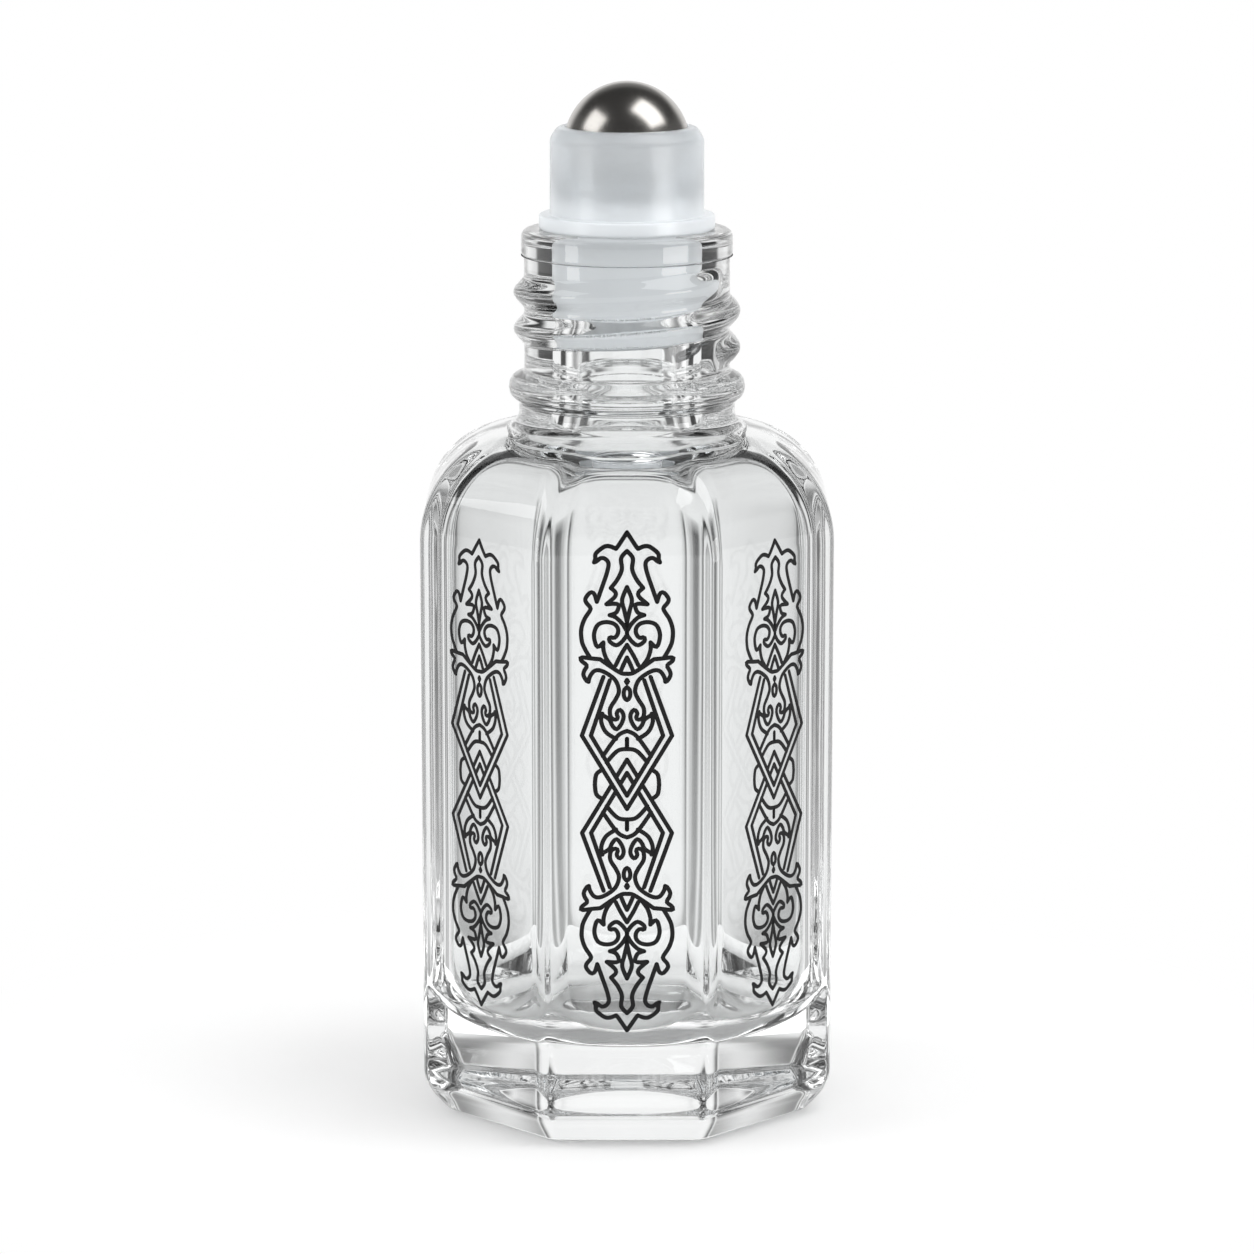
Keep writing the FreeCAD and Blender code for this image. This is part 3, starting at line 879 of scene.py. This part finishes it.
def bearing_steel(ball):
    """Lapped and polished bearing steel: a mirror with a faint haze from its finest scratches."""
    material, tree, shader, place = surface_material("Polished bearing steel")
    scratch_size = 0.12 * MM
    scratches = noise(tree, place, scratch_size, 3.0)
    haze = ranged(tree, scratches, end=(0.15, 0.3))
    fill(tree, shader, {"Base Color": [*ball.colour, 1], "Metallic": 1.0, "Roughness": haze})
    return material


def pale_paper(stage):
    """Matt white paper that keeps the bottle's shadow and fades into the white background."""
    material, tree, shader, place = surface_material("Matt white paper")
    maths = math_nodes(tree)
    fade_reach = (20 * MM, 50 * MM)
    fill(tree, shader, {"Roughness": 0.9, "Specular IOR Level": 0.1, "Base Color": [*stage.floor_colour, 1]})
    distance = add(tree, "ShaderNodeVectorMath", place, operation="LENGTH").outputs["Value"]
    fade = ranged(tree, distance, fade_reach, kind="SMOOTHSTEP")
    unscattered = maths("LESS_THAN", add(tree, "ShaderNodeLightPath").outputs["Diffuse Depth"], 0.5)
    white = add(tree, "ShaderNodeEmission", {"Color": WHITE, "Strength": 1.0})
    show(tree, add(tree, "ShaderNodeMixShader", maths("MULTIPLY", fade, unscattered), shader, white))
    return material


def light_by_turn(tree, turn, period, steps):
    """Brightness round the bottle, there and back within each period, from (share, grey) steps."""
    maths = math_nodes(tree)
    return grey_ramp(tree, maths("DIVIDE", maths("PINGPONG", turn, period), period), steps)


def graded_panels():
    """Studio light behind the glass: eight soft panels, dark flags round the neck, a dark band above."""
    material, tree, shader, place = surface_material("Graded studio panels")
    maths = math_nodes(tree)
    across = add(tree, "ShaderNodeSeparateXYZ", place).outputs
    turn = maths("ARCTAN2", across["X"], across["Y"])
    climb = maths("DIVIDE", across["Z"], CARD_TOP)
    lift = grey_ramp(tree, climb, GAP_LIGHT)
    kept = maths("SUBTRACT", 1.0, lift)
    low_light = maths("MULTIPLY_ADD", light_by_turn(tree, turn, HALF_FACET, PANEL_LIGHT), kept, lift)
    high_light = light_by_turn(tree, turn, math.pi / 2, FLAG_LIGHT)
    height = ranged(tree, across["Z"], FLAG_RISE)
    level = add(tree, "ShaderNodeMix", {"Factor": height, "A": low_light, "B": high_light})
    paths = add(tree, "ShaderNodeLightPath").outputs
    wandered = maths("GREATER_THAN", paths["Ray Depth"], WANDERED)
    band = maths("MAXIMUM", grey_ramp(tree, climb, BAND_LIGHT), wandered)
    glow = add(tree, "ShaderNodeEmission", {"Color": WHITE, "Strength": maths("MULTIPLY", level, band)})
    clear = add(tree, "ShaderNodeBsdfTransparent")
    show(tree, add(tree, "ShaderNodeMixShader", paths["Diffuse Depth"], glow, clear))
    tree.nodes.remove(shader)
    return material


class BuildGlass(bpy.types.Operator):
    """Make the threaded glass bottle"""

    bl_idname = "roll_on.build_glass"
    bl_label = "Glass bottle"

    def execute(self, context):
        glass = context.scene.roll_on_glass
        values = {
            "Columns": GLASS_COLUMNS * FACETS,
            "Edge Crowding": EDGE_CROWDING,
            "Thread Height": (glass.thread_diameter - glass.neck_diameter) / 2,
            "Thread Width": glass.thread_width,
            "Thread Pitch": glass.thread_pitch,
            "Thread Turns": glass.thread_turns,
            "Thread Top": glass.thread_top,
            "Thread Start": glass.thread_start,
            "Groove Count": 1.0,
            "Groove Width": MM,
            "Material": flint_glass(glass),
        }
        seed = profile_mesh("glass_profile", glass_profile(glass))
        piece = grown("moulded_glass", seed, wall_tree(), values)
        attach(piece, "bottle")
        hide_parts("glass_bottle")
        return {"FINISHED"}


class BuildOrnament(bpy.types.Operator):
    """Print the ornament on the front panel and its neighbours"""

    bl_idname = "roll_on.build_ornament"
    bl_label = "Printed ornament"

    def execute(self, context):
        glass = context.scene.roll_on_glass
        ornament = context.scene.roll_on_ornament
        values = {
            "Line Width": ornament.line_width,
            "Proud": ornament.proud,
            "Step": 0.12 * MM,
            "Middle": ornament.middle_height,
            "Panel Distance": glass.across_flats / 2,
            "Shoulder Start": glass.shoulder_top - glass.shoulder_radius,
            "Shoulder Radius": glass.shoulder_radius,
            "Material": ceramic_ink(ornament),
        }
        piece = grown("printed_ornament", stroke_mesh(), ornament_tree(), values)
        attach(piece, "bottle")
        return {"FINISHED"}


class BuildHousing(bpy.types.Operator):
    """Make the plastic ball housing"""

    bl_idname = "roll_on.build_housing"
    bl_label = "Ball housing"

    def execute(self, context):
        scene = context.scene
        housing = scene.roll_on_housing
        profile = housing_profile(housing, scene.roll_on_glass, scene.roll_on_ball)
        values = {
            "Columns": HOUSING_COLUMNS * FACETS,
            "Edge Crowding": 1.0,
            "Thread Pitch": MM,
            "Thread Width": MM,
            "Groove Count": float(housing.grooves),
            "Groove Depth": housing.groove_depth,
            "Groove Width": housing.groove_width,
            "Material": natural_polyethylene(housing),
        }
        piece = grown("moulded_housing", profile_mesh("housing_profile", profile), wall_tree(), values)
        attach(piece, "housing")
        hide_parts("ball_housing")
        return {"FINISHED"}


class BuildBall(bpy.types.Operator):
    """Make the polished steel ball"""

    bl_idname = "roll_on.build_ball"
    bl_label = "Steel ball"

    def execute(self, context):
        ball = context.scene.roll_on_ball
        values = {
            "Radius": ball.diameter / 2,
            "Height": ball.height,
            "Divisions": BALL_DIVISIONS,
            "Material": bearing_steel(ball),
        }
        piece = grown("steel_ball", bpy.data.meshes.new("ball_seed"), ball_tree(), values)
        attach(piece, "ball")
        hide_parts("roller_ball")
        return {"FINISHED"}


def soft_box(name, place, aim, width, height, power):
    """An area lamp that faces a point."""
    light = bpy.data.lights.new(name, "AREA")
    light.shape = "RECTANGLE"
    light.size, light.size_y = width, height
    light.energy = power
    lamp = bpy.data.objects.new(name, light)
    lamp.location = place
    lamp.rotation_euler = (Vector(aim) - Vector(place)).to_track_quat("-Z", "Y").to_euler()
    bpy.context.scene.collection.objects.link(lamp)


def sheet(name, points, faces, material, unseen_by=()):
    """A mesh of the stage, unseen by some kinds of light."""
    mesh = bpy.data.meshes.new(name)
    mesh.from_pydata(points, [], faces)
    mesh.materials.append(material)
    piece = bpy.data.objects.new(name, mesh)
    for kind in unseen_by:
        setattr(piece, "visible_" + kind, False)
    bpy.context.scene.collection.objects.link(piece)
    return piece


def surround_card():
    """The card that stands round the bottle. Only light that passes through the glass sees it."""
    profile = ((30 * MM, 0.2 * MM), (60 * MM, 2 * MM), (72 * MM, 14 * MM), (72 * MM, CARD_TOP))
    steps = 96
    points, faces = [], []
    for reach, height in profile:
        turns = [2 * math.pi * step / steps for step in range(steps)]
        points += [(reach * math.sin(turn), reach * math.cos(turn), height) for turn in turns]
    for ring in range(len(profile) - 1):
        for step in range(steps):
            first = ring * steps + step
            after = ring * steps + (step + 1) % steps
            faces.append((first, after, after + steps, first + steps))
    unseen_by = ("camera", "diffuse", "glossy", "shadow")
    card = sheet("surround_card", points, faces, graded_panels(), unseen_by)


def light_strip(name, turn, spread, strength):
    """A low upright strip of light in front. Only mirror images show it, as a gleam on the glass."""
    reach, top = 300 * MM, 110 * MM
    points = []
    for angle in (math.radians(turn - spread), math.radians(turn + spread)):
        points += [(reach * math.sin(angle), -reach * math.cos(angle), height) for height in (0, top)]
    material, tree, shader, _ = surface_material("Light strip " + name)
    look = {"Base Color": (0, 0, 0, 1), "Emission Color": WHITE, "Emission Strength": strength}
    fill(tree, shader, look)
    unseen_by = ("camera", "diffuse", "transmission", "shadow")
    strip = sheet(name, points, [(0, 1, 3, 2)], material, unseen_by)


def studio_world():
    """White behind the bottle. Mirror images show a dark room, and matt surfaces are lit evenly."""
    world = bpy.data.worlds.new("White surround")
    world.use_nodes = True
    tree = world.node_tree
    tree.nodes.clear()
    maths = math_nodes(tree)
    outward = add(tree, "ShaderNodeTexCoord").outputs["Generated"]
    direction = add(tree, "ShaderNodeSeparateXYZ", outward).outputs

    def dimmed(low, high, light):
        """White up to one angle above the horizon, and another light from a higher one on."""
        climb = (math.sin(math.radians(low)), math.sin(math.radians(high)))
        return ranged(tree, direction["Z"], climb, (1, light), "SMOOTHSTEP")

    ceiling = dimmed(30, 45, 0.95)
    back_wall, dark_room = (0.6, 0.85), 0.14
    behind = ranged(tree, direction["Y"], back_wall, (dark_room, 1), "SMOOTHSTEP")
    mirrored = maths("MULTIPLY", behind, dimmed(18, 30, 0.3))
    paths = add(tree, "ShaderNodeLightPath").outputs
    sharp = ranged(tree, paths["Is Glossy Ray"], end=(ceiling, mirrored))
    matt = maths("MINIMUM", paths["Diffuse Depth"], 1.0)
    # Matt surfaces that are seen through two faces of the glass get more light
    faces, tolerance = 2.0, 0.6
    even_light, light_under_glass = 1.05, 2.2
    under_glass = maths("COMPARE", paths["Transmission Depth"], faces, tolerance)
    evenly = ranged(tree, under_glass, end=(even_light, light_under_glass))
    shown = ranged(tree, matt, end=(sharp, evenly))
    background = add(tree, "ShaderNodeBackground", {"Color": WHITE, "Strength": shown})
    add(tree, "ShaderNodeOutputWorld", {"Surface": background})
    return world


class BuildStage(bpy.types.Operator):
    """Set up the floor, the soft light and the camera"""

    bl_idname = "roll_on.build_stage"
    bl_label = "Stage"

    def execute(self, context):
        scene = context.scene
        stage = scene.roll_on_stage
        reach, under = 4.0, -0.1 * MM
        corners = [(x * reach, y * reach, under) for x, y in ((-1, -1), (1, -1), (1, 1), (-1, 1))]
        floor = sheet("paper_floor", corners, [(0, 1, 2, 3)], pale_paper(stage))

        middle = (0, 0, 35 * MM)
        for name, (place, width, height, times) in SOFT_BOXES.items():
            soft_box(name, place, middle, width, height, times * stage.lamp_power)
        surround_card()
        for name, strip in LIGHT_STRIPS.items():
            light_strip(name, *strip)

        camera = bpy.data.cameras.new("photo_camera")
        camera.lens = stage.lens
        camera.sensor_width = 36
        camera.clip_start = 0.01
        view = bpy.data.objects.new("photo_camera", camera)
        view.location = (0, -stage.camera_distance, stage.camera_height)
        aim = Vector((0, 0, stage.aim_height)) - view.location
        view.rotation_euler = aim.to_track_quat("-Z", "Y").to_euler()
        scene.collection.objects.link(view)
        scene.camera = view

        scene.world = studio_world()
        scene.view_settings.view_transform = "Standard"
        scene.cycles.max_bounces = 32
        scene.cycles.transmission_bounces = 32
        scene.cycles.glossy_bounces = 12
        return {"FINISHED"}


class BottlePanel(bpy.types.Panel):
    """Lists the pieces of the roll-on bottle"""

    bl_idname = "VIEW3D_PT_roll_on_bottle"
    bl_label = "Roll-on bottle"
    bl_space_type = "VIEW_3D"
    bl_region_type = "UI"
    bl_category = "Bottle"

    def draw(self, context):
        for operator, name, _ in BUILD_ORDER:
            box = self.layout.box()
            box.operator(operator.bl_idname)
            settings = getattr(context.scene, name)
            for setting in settings.bl_rna.properties:
                if setting.identifier not in {"rna_type", "name"}:
                    box.prop(settings, setting.identifier)


BUILD_ORDER = (
    (BuildGlass, "roll_on_glass", GlassSettings),
    (BuildOrnament, "roll_on_ornament", OrnamentSettings),
    (BuildHousing, "roll_on_housing", HousingSettings),
    (BuildBall, "roll_on_ball", BallSettings),
    (BuildStage, "roll_on_stage", StageSettings),
)


def register():
    for operator, name, group in BUILD_ORDER:
        bpy.utils.register_class(group)
        setattr(bpy.types.Scene, name, bpy.props.PointerProperty(type=group))
        bpy.utils.register_class(operator)
    bpy.utils.register_class(BottlePanel)


def unregister():
    bpy.utils.unregister_class(BottlePanel)
    for operator, name, group in reversed(BUILD_ORDER):
        bpy.utils.unregister_class(operator)
        delattr(bpy.types.Scene, name)
        bpy.utils.unregister_class(group)


def main():
    register()
    bpy.ops.roll_on.build_glass()
    bpy.ops.roll_on.build_ornament()
    bpy.ops.roll_on.build_housing()
    bpy.ops.roll_on.build_ball()
    bpy.ops.roll_on.build_stage()


if __name__ == "__main__":
    main()
